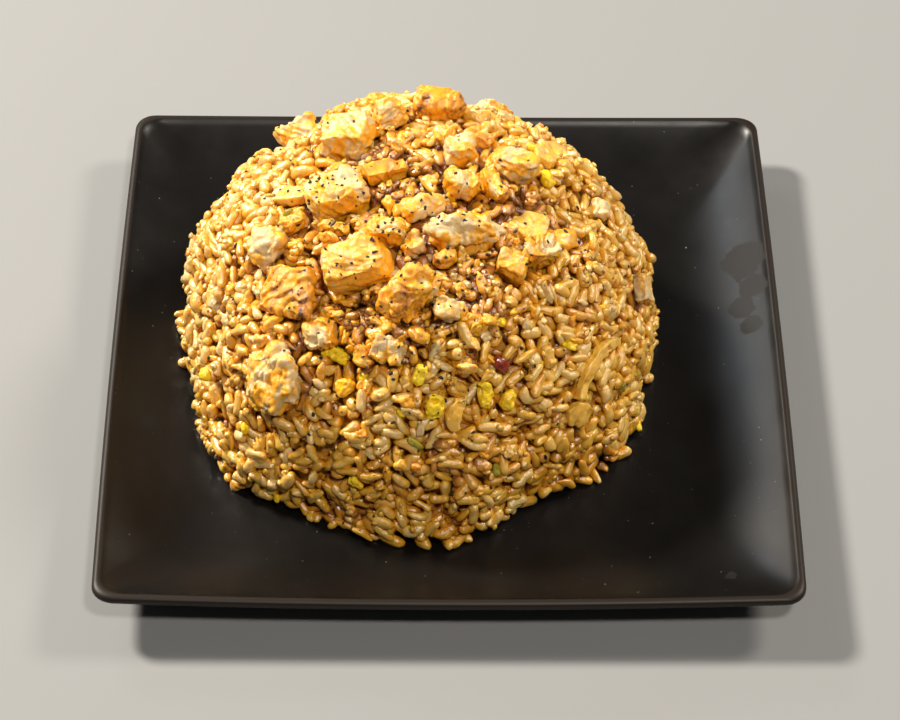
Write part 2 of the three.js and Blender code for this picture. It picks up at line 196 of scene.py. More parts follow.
REACH, HEIGHT, LENGTH = profile_table()


def bowl_points(turn, share):
    reach = np.interp(share, LENGTH, REACH)
    height = np.interp(share, LENGTH, HEIGHT)
    lobe = MOUND["lobe_depth"] * share**3 * np.cos(MOUND["lobes"] * (turn - math.radians(MOUND["lobe_turn"])))
    slump = MOUND["slump"] * share * np.sin(3 * turn + 1)
    ripple = MOUND["ripple"] * np.sin(5 * turn + 9 * share)
    reach = reach + (lobe + slump + ripple) * np.minimum(1, 4 * share)
    return np.stack(
        [
            MOUND["x"] + reach * np.cos(turn),
            MOUND["y"] + MOUND["lean"] * height / MOUND["height"] + reach * np.sin(turn),
            PLATE["well"] + height,
        ],
        -1,
    )


def bowl_normals(turn, share):
    step = 0.01
    down = np.maximum(share, 2 * step)
    around = bowl_points(turn + step, down) - bowl_points(turn - step, down)
    fall = bowl_points(turn, np.minimum(1, down + step)) - bowl_points(turn, down - step)
    return unit(np.cross(fall, around))


def share_at(climb):
    """How far from crown to foot the surface is seen at this climb, in radians, from the middle of the base."""
    return np.interp(-climb, -np.arctan2(HEIGHT, REACH), LENGTH)


def core_points(turn, share):
    """Points of the CAD core and the directions out of it."""
    points = bowl_points(turn, share)
    normals = bowl_normals(turn, share)
    depth = np.zeros(len(points))
    for hollow_turn, climb, radius, deep in HOLLOWS:
        place = np.array([math.radians(hollow_turn)]), np.array([share_at(math.radians(climb))])
        middle = bowl_points(*place)
        depth += deep * np.exp(-((np.linalg.norm(points - middle, axis=1) / radius) ** 2))
    return points - normals * depth[:, None], normals


def plate_top(half):
    share = np.maximum(0, (half - PLATE["well_half"]) / (PLATE["half"] - PLATE["lip"] - PLATE["well_half"]))
    return PLATE["well"] + (PLATE["rim"] - PLATE["well"]) * share**2


# ---------------------------------------------------------------- materials


class Shader:
    """A material with one Principled BSDF, whose uniform values are set on its own sockets."""

    def __init__(self, name, **values):
        self.material = bpy.data.materials.new(name)
        self.material.use_nodes = True
        self.nodes = self.material.node_tree.nodes
        self.links = self.material.node_tree.links
        self.main = self.nodes["Principled BSDF"]
        for key, value in values.items():
            self.main.inputs[key.replace("_", " ")].default_value = value

    def add(self, kind, **inputs):
        """A node. An input is a value or another node's output; a name with a number is that socket, as in_0."""
        node = self.nodes.new("ShaderNode" + kind)
        for key, value in inputs.items():
            if key.startswith("set_"):
                setattr(node, key[4:], value)
        for key, value in inputs.items():
            if key.startswith("set_"):
                continue
            socket = node.inputs[int(key[3:])] if key.startswith("in_") else node.inputs[key.replace("_", " ")]
            if isinstance(value, bpy.types.NodeSocket):
                self.links.new(value, socket)
            else:
                socket.default_value = value
        return node

    def noise(self, size, detail=3.0, stretch=None, roughness=0.5):
        """Noise in the object's space whose waves are about size millimetres."""
        place = self.add("TexCoord").outputs["Object"]
        if stretch:
            place = self.add("Mapping", Vector=place, Scale=stretch).outputs[0]
        made = self.add("TexNoise", Vector=place, Scale=1 / (size * MM), Detail=detail, Roughness=roughness)
        return made.outputs[0]

    def value(self, name):
        return self.add("Attribute", set_attribute_name=name).outputs["Fac"]

    def ramp(self, source, *stops):
        """A colour ramp of (position, colour or grey) stops."""
        node = self.add("ValToRGB", Fac=source)
        elements = node.color_ramp.elements
        while len(elements) < len(stops):
            elements.new(0.5)
        for element, (position, colour) in zip(elements, stops):
            element.position = position
            element.color = (*colour, 1) if isinstance(colour, tuple) else (colour, colour, colour, 1)
        return node.outputs[0]

    def mix(self, share, first, second, blend="MIX"):
        node = self.nodes.new("ShaderNodeMix")
        node.data_type = "RGBA"
        node.blend_type = blend
        sockets = [node.inputs[0], node.inputs[6], node.inputs[7]]
        for socket, value in zip(sockets, (share, first, second)):
            if isinstance(value, bpy.types.NodeSocket):
                self.links.new(value, socket)
            elif isinstance(value, tuple):
                socket.default_value = (*value, 1)
            else:
                socket.default_value = value
        return node.outputs[2]

    def math(self, operation, first, second, clamp=False):
        node = self.add("Math", set_operation=operation, set_use_clamp=clamp, in_0=first, in_1=second)
        return node.outputs[0]

    def bump(self, height, distance, strength=1.0, film=None):
        """Relief in the surface, in millimetres, and in the wet film over it, which is deeper where film is given."""
        node = self.add("Bump", Height=height, Distance=distance * MM, Strength=strength)
        self.set("Normal", node.outputs[0])
        if self.main.inputs["Coat Weight"].default_value:
            over = self.add("Bump", Height=height, Distance=(film or distance) * MM, Strength=strength)
            self.set("Coat Normal", over.outputs[0])

    def set(self, name, source):
        self.links.new(source, self.main.inputs[name])


RICE_PALE = (0.85, 0.59, 0.22)
RICE_BEIGE = (0.81, 0.445, 0.03)
RICE_GOLD = (0.70, 0.29, 0.004)
RICE_BROWN = (0.24, 0.07, 0.003)
# painted shade: rice is browner deep in the gaps between grains, where shade falls, and partly where sauce soaks in
SOAK_AND_SHADE_BELOW = 0.6  # how much browner rice is deep in the gaps
# pan juices and painted shade: rice is browner against a piece of chicken, where juice runs and where the piece shades
# it
JUICE_AND_SHADE = 0.22  # how much browner it is against a piece of chicken
# where soy sauce and pan juices have browned the rice: turn and climb in degrees, radius in mm and how much
SOAKED = [
    (-114, 53, 9, 0.6),
    (140, 80, 13, 0.5),
    (-60, 52, 9, 0.35),
    (0, 62, 13, 0.3),
    (-90, 72, 24, 0.55),
    (-30, 42, 9, 0.3),
    (-128, 38, 8, 0.4),
    (-80, 20, 14, 0.12),
    (-110, 8, 10, 0.15),
    (-50, 8, 12, 0.15),
]


def rice_material():
    s = Shader(
        "rice",
        Subsurface_Weight=0.6,
        Subsurface_Radius=(1.0, 0.66, 0.34),
        Subsurface_Scale=1.6 * MM,
        Roughness=0.4,
        Specular_IOR_Level=0.25,
        Coat_Weight=1.0,
        Coat_Roughness=0.24,
        Coat_IOR=2.0,
    )
    tone = s.ramp(s.value("tone"), (0, RICE_PALE), (0.35, RICE_BEIGE), (0.7, RICE_GOLD), (1, RICE_BROWN))
    mottle = s.ramp(s.noise(1.6), (0.3, 0.85), (0.7, 1.1))
    s.set("Base Color", s.mix(1.0, tone, mottle, "MULTIPLY"))
    s.bump(s.noise(1.0, 3), 0.2, 1.0, 0.5)
    return s.material


def chicken_material():
    s = Shader(
        "chicken",
        Subsurface_Weight=0.5,
        Subsurface_Radius=(1.0, 0.6, 0.3),
        Subsurface_Scale=1.6 * MM,
        Roughness=0.5,
        Specular_IOR_Level=0.2,
        Coat_Weight=0.7,
        Coat_Roughness=0.24,
        Coat_IOR=1.8,
    )
    grit = s.math("MULTIPLY", s.math("SUBTRACT", s.noise(1.1, 4, None, 0.7), 0.5), 0.8)
    browning = s.ramp(
        s.math("ADD", s.value("sear"), grit),
        (0.24, (0.78, 0.57, 0.28)),
        (0.34, (0.82, 0.50, 0.12)),
        (0.40, (0.94, 0.45, 0.006)),
        (0.70, (0.80, 0.32, 0.004)),
        (0.88, (0.42, 0.14, 0.003)),
        (1.0, (0.06, 0.02, 0.003)),
    )
    mottle = s.ramp(s.noise(1.2, 4), (0.3, 0.86), (0.7, 1.04))
    s.set("Base Color", s.mix(1.0, browning, mottle, "MULTIPLY"))
    s.bump(s.noise(1.0, 4, None, 0.6), 0.35, 0.9, 0.6)
    return s.material


def egg_material():
    s = Shader(
        "egg",
        Subsurface_Weight=0.25,
        Subsurface_Radius=(1.0, 0.6, 0.1),
        Subsurface_Scale=1.2 * MM,
        Roughness=0.45,
        Coat_Weight=0.6,
        Coat_Roughness=0.15,
    )
    s.set("Base Color", s.ramp(s.value("fried"), (0, (1.0, 0.70, 0.006)), (0.5, (0.95, 0.50, 0.005)), (1, (0.45, 0.16, 0.008))))
    s.bump(s.noise(1.2, 3), 0.6, 0.9)
    return s.material


def onion_material():
    s = Shader(
        "onion",
        Subsurface_Weight=0.6,
        Subsurface_Radius=(1.0, 0.7, 0.35),
        Subsurface_Scale=2.4 * MM,
        Roughness=0.3,
        Specular_IOR_Level=0.3,
        Coat_Weight=1.0,
        Coat_Roughness=0.12,
        Coat_IOR=1.6,
    )
    s.set("Base Color", s.ramp(s.noise(3), (0.3, (0.80, 0.40, 0.025)), (0.7, (0.86, 0.54, 0.10))))
    s.bump(s.noise(1.2, 3, (1, 1, 0.3)), 0.3, 0.9, 1.0)
    return s.material


def chilli_material():
    s = Shader("chilli", Roughness=0.3, Coat_Weight=0.7, Coat_Roughness=0.08)
    s.set("Base Color", s.ramp(s.noise(1.5), (0.3, (0.16, 0.012, 0.004)), (0.7, (0.32, 0.035, 0.008))))
    s.bump(s.noise(0.8), 0.15, 0.6)
    return s.material


def green_material():
    s = Shader("green_onion", Roughness=0.35, Coat_Weight=0.5, Coat_Roughness=0.1, Subsurface_Weight=0.3)
    s.main.inputs["Subsurface Scale"].default_value = 1.5 * MM
    s.set("Base Color", s.ramp(s.noise(1.5), (0.3, (0.22, 0.19, 0.01)), (0.7, (0.42, 0.34, 0.02))))
    s.bump(s.noise(0.8), 0.1, 0.5)
    return s.material


def crumb_material():
    s = Shader("pan_crumb", Roughness=0.45, Coat_Weight=0.5, Coat_Roughness=0.15)
    s.set("Base Color", s.ramp(s.noise(1.6), (0.35, (0.06, 0.015, 0.002)), (0.65, (0.44, 0.15, 0.008))))
    s.bump(s.noise(0.5), 0.2, 0.8)
    return s.material


def soy_material():
    s = Shader(
        "soy_bit",
        Roughness=0.35,
        Coat_Weight=0.6,
        Coat_Roughness=0.1,
        Subsurface_Weight=0.4,
        Subsurface_Radius=(1.0, 0.4, 0.1),
        Subsurface_Scale=1.5 * MM,
    )
    s.set("Base Color", s.ramp(s.noise(1.5), (0.35, (0.34, 0.13, 0.01)), (0.65, (0.66, 0.32, 0.04))))
    s.bump(s.noise(0.6), 0.15, 0.7)
    return s.material


def pepper_material():
    s = Shader("pepper", Roughness=0.45)
    s.set("Base Color", s.ramp(s.noise(0.8), (0.4, (0.006, 0.005, 0.004)), (0.7, (0.035, 0.022, 0.014))))
    s.bump(s.noise(0.3), 0.08, 0.8)
    return s.material


# painted shade: the core stands for the rice under the grains and is a darker brown than they are, so that where it
# shows between them it reads as shade in the depths
def core_material():
    s = Shader("rice_core", Roughness=0.4, Coat_Weight=0.4, Coat_Roughness=0.15)
    s.set("Base Color", s.ramp(s.noise(3), (0.3, (0.42, 0.17, 0.01)), (0.7, (0.58, 0.27, 0.02))))
    s.bump(s.noise(2), 0.6)
    return s.material


# dull marks of grease and water on the plate: x, y and radius in mm
SMUDGES = [(99, 42, 8), (102, 29, 5), (97, 21, 5), (100, 12, 4), (92, 64, 2.5), (-96, -30, 4), (86, -92, 3)]


def plate_material():
    s = Shader("plate_glaze", Specular_IOR_Level=0.27)
    glaze = s.ramp(s.noise(24, 5), (0.3, (0.004, 0.0036, 0.0033)), (0.7, (0.006, 0.0054, 0.005)))
    dust = s.ramp(s.noise(1.3, 1), (0.79, 0.0), (0.8, 1.0))
    glaze = s.mix(dust, glaze, (0.16, 0.16, 0.15))
    s.set("Base Color", s.mix(s.value("edge"), glaze, (0.014, 0.009, 0.006)))
    place = s.add("TexCoord").outputs["Object"]
    ragged = s.math("MULTIPLY", s.math("SUBTRACT", s.noise(5, 4, None, 0.6), 0.5), 1.0)
    greasy = 0.0
    for x, y, radius in SMUDGES:
        away = s.add("VectorMath", set_operation="DISTANCE", in_0=place, in_1=(x * MM, y * MM, 0.013)).outputs["Value"]
        inside = s.math("LESS_THAN", s.math("ADD", s.math("DIVIDE", away, radius * MM), ragged), 1.0)
        greasy = s.math("MAXIMUM", inside, greasy)
    satin = s.ramp(s.noise(14, 6, None, 0.65), (0.3, 0.28), (0.7, 0.36))
    rough = s.mix(greasy, satin, (0.57, 0.57, 0.57))
    s.set("Roughness", s.mix(s.value("edge"), rough, (0.45, 0.45, 0.45)))
    s.bump(s.noise(0.5, 2), 0.02, 0.3)
    return s.material


# ---------------------------------------------------------------- plate


def square_ring(half, height, side_steps=20, corner_steps=7):
    """One level line of the plate, as in the CAD source, with more points."""
    climb = max(0, (half - PLATE["well_half"]) / (PLATE["half"] - PLATE["lip"] - PLATE["well_half"]))
    corner = PLATE["corner"] + PLATE["corner_spread"] * (PLATE["half"] - half)
    straight = half - corner
    y = straight * (2 * np.arange(side_steps) / side_steps - 1)
    a = np.arange(corner_steps) / corner_steps * math.pi / 2
    x = np.concatenate([np.full(side_steps, half), straight + corner * np.cos(a)])
    y = np.concatenate([y, straight + corner * np.sin(a)])
    lift = PLATE["lift"] * climb**2 * (x * y / half**2) ** 2
    x = x + PLATE["bow"] * (half / PLATE["half"]) * (1 - np.minimum(1, np.abs(y) / half) ** 2)
    sides = [(x, y), (-y, x), (-x, -y), (y, -x)]
    return np.concatenate([np.stack([u, v, height + lift], -1) for u, v in sides])


PLATE_LIP = np.linspace(117, -29, 12)  # angles of the lip's rings, from the inside over the top
PLATE_INSIDE = np.concatenate([np.linspace(6, PLATE["well_half"], 8), np.linspace(74, 105, 22)])


def plate_rings():
    p = PLATE
    rings = [square_ring(h, plate_top(h)) for h in PLATE_INSIDE]
    for degrees in PLATE_LIP:
        a = math.radians(degrees)
        half = p["half"] - p["lip"] + p["lip"] * math.cos(a)
        rings.append(square_ring(half, p["rim"] - p["lip"] + p["lip"] * math.sin(a)))
    for h in np.linspace(104, 80, 12):
        rings.append(square_ring(h, plate_top(h) - p["thick"]))
    foot = [
        (p["foot_outer"] + p["foot_bevel"], p["foot_height"]),
        (p["foot_outer"] + 0.3, 0.3),
        (p["foot_outer"], 0),
        (p["foot_inner"], 0),
        (p["foot_inner"] - 0.3, 0.3),
        (p["foot_inner"] - p["foot_bevel"], p["foot_height"]),
        (6, p["foot_height"]),
    ]
    return rings + [square_ring(h, z) for h, z in foot]


def ring_faces(rings, count):
    r, k = np.meshgrid(np.arange(rings - 1), np.arange(count), indexing="ij")
    here, there = r * count, (r + 1) * count
    after = (k + 1) % count
    return np.stack([here + k, there + k, there + after, here + after], -1).reshape(-1, 4)


def make_plate():
    rings = plate_rings()
    count = len(rings[0])
    points = np.concatenate(rings)
    quads = ring_faces(len(rings), count)
    middles = [rings[0].mean(0), rings[-1].mean(0)]
    points = np.concatenate([points, middles])
    k = np.arange(count)
    after = (k + 1) % count
    first, last = len(points) - 2, len(points) - 1
    end = (len(rings) - 1) * count
    caps = np.concatenate(
        [
            np.stack([np.full(count, first), k, after], -1),
            np.stack([np.full(count, last), end + after, end + k], -1),
        ]
    )
    triangles = np.concatenate([quads[:, [0, 1, 2]], quads[:, [0, 2, 3]], caps])
    plate = mesh_object("plate_glazed", points, triangles, plate_material())
    edge = np.zeros(len(rings))
    edge[len(PLATE_INSIDE) : len(PLATE_INSIDE) + len(PLATE_LIP)] = (PLATE_LIP > 10) & (PLATE_LIP < 110)
    set_point_values(plate, "edge", np.append(np.repeat(edge, count), [0, 0]))
    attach(plate, BODY)
    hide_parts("plate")


# ---------------------------------------------------------------- rice


def piece_trees():
    """The name and a search tree for each CAD piece that lies in the rice, with its middle and reach in mm."""
    trees = []
    for name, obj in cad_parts.items():
        if name in ("plate", "rice"):
            continue
        points = points_of(obj.data)
        faces = [tuple(p.vertices) for p in obj.data.polygons]
        middle = points.mean(0)
        reach = np.linalg.norm(points - middle, axis=1).max()
        trees.append((name, BVHTree.FromPolygons([tuple(p) for p in points], faces), middle, reach))
    return trees


def clear_of(trees, balls, distance):
    """Whether all balls stay this far from every piece."""
    for _, tree, middle, reach in trees:
        if np.linalg.norm(balls.mean(0) - middle) > reach + 8:
            continue
        for ball in balls:
            place, normal, _, away = tree.find_nearest(tuple(ball))
            if away < distance or (Vector(ball) - place).dot(normal) < 0:
                return False
    return True


class Settler:
    """Drops grains on to the core along its normals. Each grain is three balls in a row, and comes to rest on the
    core and on the grains before it, tilted as they hold it."""

    CELL = 8.5

    def __init__(self, most):
        self.balls = np.empty((3 * most, 3))
        self.count = 0
        self.cells = {}

    def near(self, point):
        i, j, k = (int(math.floor(c / self.CELL)) for c in point)
        found = []
        for a in (i - 1, i, i + 1):
            for b in (j - 1, j, j + 1):
                for c in (k - 1, k, k + 1):
                    found += self.cells.get((a, b, c), ())
        return self.balls[found]

    def keep(self, balls):
        for ball in balls:
            self.balls[self.count] = ball
            cell = tuple(int(math.floor(c / self.CELL)) for c in ball)
            self.cells.setdefault(cell, []).append(self.count)
            self.count += 1

    def rest(self, base, normal, along, spread, floor):
        """Heights over base at which the two ends and the middle rest."""
        close = self.near(base + normal * 3)
        if not len(close):
            return np.full(3, floor)
        starts = base + along * np.array([[-spread], [0], [spread]])
        touching = 2 * GRAIN_RADIUS * PACKING
        away = starts[:, None] - close[None]
        up = away @ normal
        across = np.maximum(0, (away**2).sum(-1) - up**2)
        held = np.where(across < touching**2, np.sqrt(np.maximum(0, touching**2 - across)) - up, -99)
        return np.maximum(held.max(1), floor)


def lying_grain(settler, base, normal, across, spread, lean):
    """The two ends of a grain that comes down at base: it tips until both ends are held, or, where lean is given,
    sticks at that angle."""
    most = math.tan(math.radians(38)) * 2 * spread
    if lean is None:
        low, middle, high = settler.rest(base, normal, across, spread, 0.5 * GRAIN_RADIUS)
        low, high = max(low, high - most), max(high, low - most)
        lift = max(0, middle - (low + high) / 2)
        return base + across * [[-spread], [spread]] + normal * [[low + lift], [high + lift]]
    along = math.cos(lean) * across + math.sin(lean) * normal
    rise = spread * math.sin(lean)
    held = settler.rest(base, normal, across, spread * math.cos(lean), 0.5 * GRAIN_RADIUS)
    lift = (held - [-rise, 0, rise]).max()
    return base + normal * lift + along * [[-spread], [spread]]


# how high the tops may be over the dark core in each pass, and how many grains are dropped
PASSES = [(3.1, 10000), (CORE_DEPTH + RICE_TOP, 60000)]


def unevenness(points):
    """How far clumps of rice stand out of the mound, or lie back in it."""
    return 3.0 * rough_noise(points / 9, 5, 2) - 2.6 * np.exp(-((lattice_noise(points / 13, 8) / 0.1) ** 2))


def settle_rice(rng, trees):
    """All grains of the mound: their middles, directions, lengths, and the points of the dark core under them with
    the normals there."""
    settler = Settler(16000)
    grains = []
    for cap, tries in PASSES:
        share = rng.random(tries * 2)
        share = share[rng.random(len(share)) * MOUND["radius"] < np.interp(share, LENGTH, REACH)][:tries]
        turn = rng.uniform(-math.pi, math.pi, len(share))
        bases, normals = core_points(turn, share)
        bases = bases + normals * (unevenness(bases) - CORE_DEPTH)[:, None]
        across = rng.normal(size=bases.shape)
        across = unit(across - normals * (across * normals).sum(1)[:, None])
        lengths = np.clip(rng.normal(7.6, 0.9, len(share)), 5.4, 9.8)
        leans = np.radians(np.clip(rng.normal(0, 30, len(share)), -75, 75))
        sticks = rng.random(len(share)) < 0.7
        caps = cap + rng.normal(0, 0.35, len(share))
        for i in range(len(share)):
            normal = normals[i]
            lean = leans[i] if sticks[i] else None
            ends = lying_grain(settler, bases[i], normal, across[i], lengths[i] / 2 - GRAIN_RADIUS, lean)
            if ((ends - bases[i]) @ normal).max() + GRAIN_RADIUS > caps[i]:
                continue
            balls = np.array([ends[0], ends.mean(0), ends[1]])
            half = np.abs(balls[:, :2]).max(1)
            if (balls[:, 2] < plate_top(half) + 0.85 * GRAIN_RADIUS).any():
                continue
            if not clear_of(trees, balls, 0.6 * GRAIN_RADIUS):
                continue
            settler.keep(balls)
            grains.append((balls[1], unit(ends[1] - ends[0]), lengths[i], bases[i], normal))
    return [np.array(column) for column in zip(*grains)]


def scatter_round_foot(rng, count):
    """Grains that lie on the plate against the mound's foot, as settle_rice gives its own."""
    turn = rng.uniform(-math.pi, math.pi, count)
    points = bowl_points(turn, np.ones(count))
    outward = np.stack([np.cos(turn), np.sin(turn), np.zeros(count)], -1)
    points = points + outward * rng.uniform(0, 1.4, count)[:, None]
    points[:, 2] = plate_top(np.abs(points[:, :2]).max(1)) + 0.95 * GRAIN_RADIUS
    heading = rng.uniform(0, 2 * math.pi, count)
    along = np.stack([np.cos(heading), np.sin(heading), rng.uniform(-0.05, 0.2, count)], -1)
    lengths = np.clip(rng.normal(7.3, 0.9, count), 5.6, 9)
    return points, unit(along), lengths, points - outward * (CORE_DEPTH + 1), outward


def grain_shape(rings=8, sides=9, full=2.7, taper=0.12, crease=0.1):
    """Points and triangles of a grain of half length 1 and radius 1 along x: full sets how blunt its ends are."""
    x = -np.cos(np.linspace(0, math.pi, rings + 2)[1:-1])
    radius = (1 - np.abs(x) ** full) ** 0.5 * (1 + taper * x)
    a = np.arange(sides) / sides * 2 * math.pi
    dent = 1 - crease * np.exp(-((np.minimum(a, 2 * math.pi - a) / 0.6) ** 2)) + 0.07 * np.cos(3 * a)
    y = radius[:, None] * np.cos(a) * dent
    z = radius[:, None] * np.sin(a) * dent
    body = np.stack([np.repeat(x[:, None], sides, 1), y, z], -1).reshape(-1, 3)
    points = np.concatenate([body, [[-1.0, 0, 0], [1.0, 0, 0]]])
    quads = ring_faces(rings, sides)
    k = np.arange(sides)
    after = (k + 1) % sides
    first, last = len(points) - 2, len(points) - 1
    end = (rings - 1) * sides
    triangles = np.concatenate(
        [
            quads[:, [0, 2, 1]],
            quads[:, [0, 3, 2]],
            np.stack([np.full(sides, first), after, k], -1),
            np.stack([np.full(sides, last), end + k, end + after], -1),
        ]
    )
    return points, triangles


# name, shape, the kind's length and width against a plain grain, and how much it bends
GRAIN_KINDS = [
    ("plain", dict(full=3.3), 0.98, 1.0, 0.16),
    ("plump", dict(full=3.8, taper=-0.08), 0.92, 1.15, 0.1),
    ("bent", dict(full=3.5, taper=0.12), 1.02, 0.98, 0.5),
    ("slim", dict(full=3.0, taper=-0.1), 1.06, 0.92, 0.25),
    ("broken", dict(full=5.0, taper=0.25, crease=0.25), 0.6, 1.06, 0.05),
    ("under", dict(rings=5, sides=7), 1.0, 1.0, 0.15),
]
KIND_SHARES = [0.3, 0.27, 0.25, 0.06, 0.12]


def place_grains(rng, shape, bend, middles, along, normals, scales, seed):
    """Grains as one set of points and triangles, with how far each point stands out of its grain's middle. Each lies
    along its direction, turned about it at random, bent and dented a little in its own way."""
    points, triangles = shape
    count = len(middles)
    x = along
    y = unit(np.cross(rng.normal(size=(count, 3)), x))
    z = np.cross(x, y)
    local = points[None] * scales[:, None]
    curve = points[None, :, 0] ** 2 - 0.4
    local[:, :, 1] -= rng.normal(bend, 0.12, count)[:, None] * scales[:, 1:2] * curve
    local[:, :, 2] += rng.normal(0, 0.12, count)[:, None] * scales[:, 1:2] * curve
    round_out = unit(points * [0.4, 1, 1])
    dents = lattice_noise((local + 37.0 * np.arange(count)[:, None, None]).reshape(-1, 3) / 1.9, seed)
    local += round_out[None] * 0.55 * dents.reshape(count, -1, 1)
    placed = np.einsum("nvi,nij->nvj", local, np.stack([x, y, z], 1))
    out = np.einsum("nvj,nj->nv", placed, normals)
    offset = np.arange(count)[:, None, None] * len(points)
    return (placed + middles[:, None]).reshape(-1, 3), (triangles[None] + offset).reshape(-1, 3), out


# the level that the painted shade in the gaps between grains is measured from
def levels_round(middles, tops, reach=7.0):
    """How high the highest grains near each grain stand."""
    levels = np.empty(len(middles))
    for i, middle in enumerate(middles):
        near = np.sort(tops[np.linalg.norm(middles - middle, axis=1) < reach])
        levels[i] = near[-max(1, len(near) // 4) :].mean()
    return levels


def soaked_share(points):
    """How browned the rice is at each point."""
    total = np.zeros(len(points))
    for turn, climb, radius, much in SOAKED:
        middle = bowl_points(np.array([math.radians(turn)]), np.array([share_at(math.radians(climb))]))
        total += much * np.exp(-((np.linalg.norm(points - middle, axis=1) / radius) ** 2))
    return total


def juice_and_shade_share(points, trees, spread=3.5):
    """How much pan juice and painted shade each point gets from the chicken: 1 against a piece, less farther off."""
    share = np.zeros(len(points))
    for name, tree, middle, reach in trees:
        if not name.startswith("chicken"):
            continue
        for i in np.flatnonzero(np.linalg.norm(points - middle, axis=1) < reach + 2 * spread):
            away = tree.find_nearest(tuple(points[i]))[3]
            share[i] = max(share[i], math.exp(-((away / spread) ** 2)))
    return share


def make_rice(trees, material):
    rng = np.random.default_rng(7)
    settled = settle_rice(rng, trees)
    loose = scatter_round_foot(rng, 60)
    middles, along, lengths, bases, normals = (np.concatenate(pair) for pair in zip(settled, loose))
    count = len(middles)
    heights = ((middles - bases) * normals).sum(1)
    tops = heights + np.abs((along * normals).sum(1)) * (lengths / 2 - GRAIN_RADIUS) + GRAIN_RADIUS
    levels = levels_round(middles, tops)
    kinds = np.where(tops < UNDER, len(KIND_SHARES), rng.choice(len(KIND_SHARES), count, p=KIND_SHARES))
    tone = 0.25 + 0.07 * rng.normal(size=count) + 0.18 * rough_noise(middles / 14, 3, 2)
    # pan juices and painted shade: rice is browner close to the chicken
    tone = np.minimum(tone, 0.55) + soaked_share(middles) + JUICE_AND_SHADE * juice_and_shade_share(middles, trees)
    # painted light: rice is paler towards the back left, the side that the key lamp lights
    tone -= 0.07 * np.maximum(0, (middles[:, 1] - MOUND["y"] - middles[:, 0] + MOUND["x"]) / MOUND["radius"])
    tone = np.where(rng.random(count) < 0.12, tone - 0.2, tone)
    tone = np.where(rng.random(count) < 0.06, tone + 0.15, tone)
    for kind, (name, options, longer, wider, bend) in enumerate(GRAIN_KINDS):
        chosen = kinds == kind
        n = chosen.sum()
        width = 1.78 * wider * rng.uniform(0.76, 1.16, n)
        scales = np.stack([lengths[chosen] / 2 * longer, width, width * rng.uniform(0.7, 0.96, n)], -1)
        shape = grain_shape(**options)
        ends = np.abs(shape[0][:, 0]) ** 3
        held = middles[chosen], along[chosen], normals[chosen]
        points, triangles, out = place_grains(rng, shape, bend, *held, scales, 31 + kind)
        grains = mesh_object("rice_grains_" + name, points, triangles, material)
        # painted shade: sunk is how far a point lies under the tops of the grains round it, and deeper points are
        # painted browner
        sunk = levels[chosen][:, None] - heights[chosen][:, None] - out
        tone_and_shade = tone[chosen][:, None] + 0.14 * (ends - 0.3) + SOAK_AND_SHADE_BELOW * np.clip(sunk / 3.2 - 0.15, 0, 1)
        set_point_values(grains, "tone", np.clip(tone_and_shade, 0, 1).ravel())
        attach(grains, BODY)
        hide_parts("rice")


def make_core():
    """The dark mass under the grains, closed at the plate, browner than they are as painted shade in the depths."""
    rings, sides = 60, 180
    share, turn = np.meshgrid(np.linspace(0.01, 1, rings), np.arange(sides) / sides * 2 * math.pi, indexing="ij")
    points, normals = core_points(turn.ravel(), share.ravel())
    points = points + normals * (unevenness(points) - CORE_DEPTH)[:, None]
    points[-sides:, 2] = PLATE["well"] + 0.4
    points = np.concatenate([points, [points[:sides].mean(0), [MOUND["x"], MOUND["y"], PLATE["well"] + 0.4]]])
    quads = ring_faces(rings, sides)
    k = np.arange(sides)
    after = (k + 1) % sides
    end = (rings - 1) * sides
    top, bottom = len(points) - 2, len(points) - 1
    triangles = np.concatenate(
        [
            quads[:, [0, 1, 2]],
            quads[:, [0, 2, 3]],
            np.stack([np.full(sides, top), k, after], -1),
            np.stack([np.full(sides, bottom), end + after, end + k], -1),
        ]
    )
    core = mesh_object("rice_core", points, triangles, core_material())
    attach(core, BODY)
    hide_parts("rice")


# ---------------------------------------------------------------- chicken, egg, onion and chilli


def fine_copy(name, voxel, rounding):
    """A CAD piece's form as a fine mesh: its points and outward normals in millimetres, and its quads."""
    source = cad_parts[name]
    copy = bpy.data.objects.new("fine_" + name, source.data.copy())
    bpy.context.scene.collection.objects.link(copy)
    remesh = copy.modifiers.new("remesh", "REMESH")
    remesh.mode = "VOXEL"
    remesh.voxel_size = voxel * MM
    smooth = copy.modifiers.new("smooth", "SMOOTH")
    smooth.iterations = rounding
    smooth.factor = 0.6
    mesh = bpy.data.meshes.new_from_object(copy.evaluated_get(bpy.context.evaluated_depsgraph_get()))
    points, normals = points_of(mesh), normals_of(mesh)
    faces = np.array([tuple(p.vertices) for p in mesh.polygons if len(p.vertices) == 4])
    old = copy.data
    bpy.data.objects.remove(copy)
    bpy.data.meshes.remove(old)
    bpy.data.meshes.remove(mesh)
    return points, normals, faces


def billow(points, seed):
    """Round knobs with creases between them, about one unit across and on average level."""
    return np.abs(lattice_noise(points, seed)) - 0.28


def along_grain(points, direction, stretch):
    """The points squeezed along a direction, so that noise over them runs in threads that way."""
    direction = unit(np.array(direction, float))
    share = points @ direction
    return points - (1 - 1 / stretch) * share[:, None] * direction


def flaky(points, fibre, threads, seed):
    """Layers of meat that lie on each other like shingles: 0 on a layer's top edge, 1 at its foot."""
    over = unit(np.cross(fibre, np.roll(fibre, 1) + 0.1))
    return (points @ over / 3.1 + 1.3 * lattice_noise(threads / 4, seed)) % 1.0


def dressed(name, node, points, faces, material, values):
    piece = mesh_object(name, points, faces, material)
    for key, value in values.items():
        set_point_values(piece, key, value)
    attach(piece, BODY)
    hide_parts(node)
    return piece


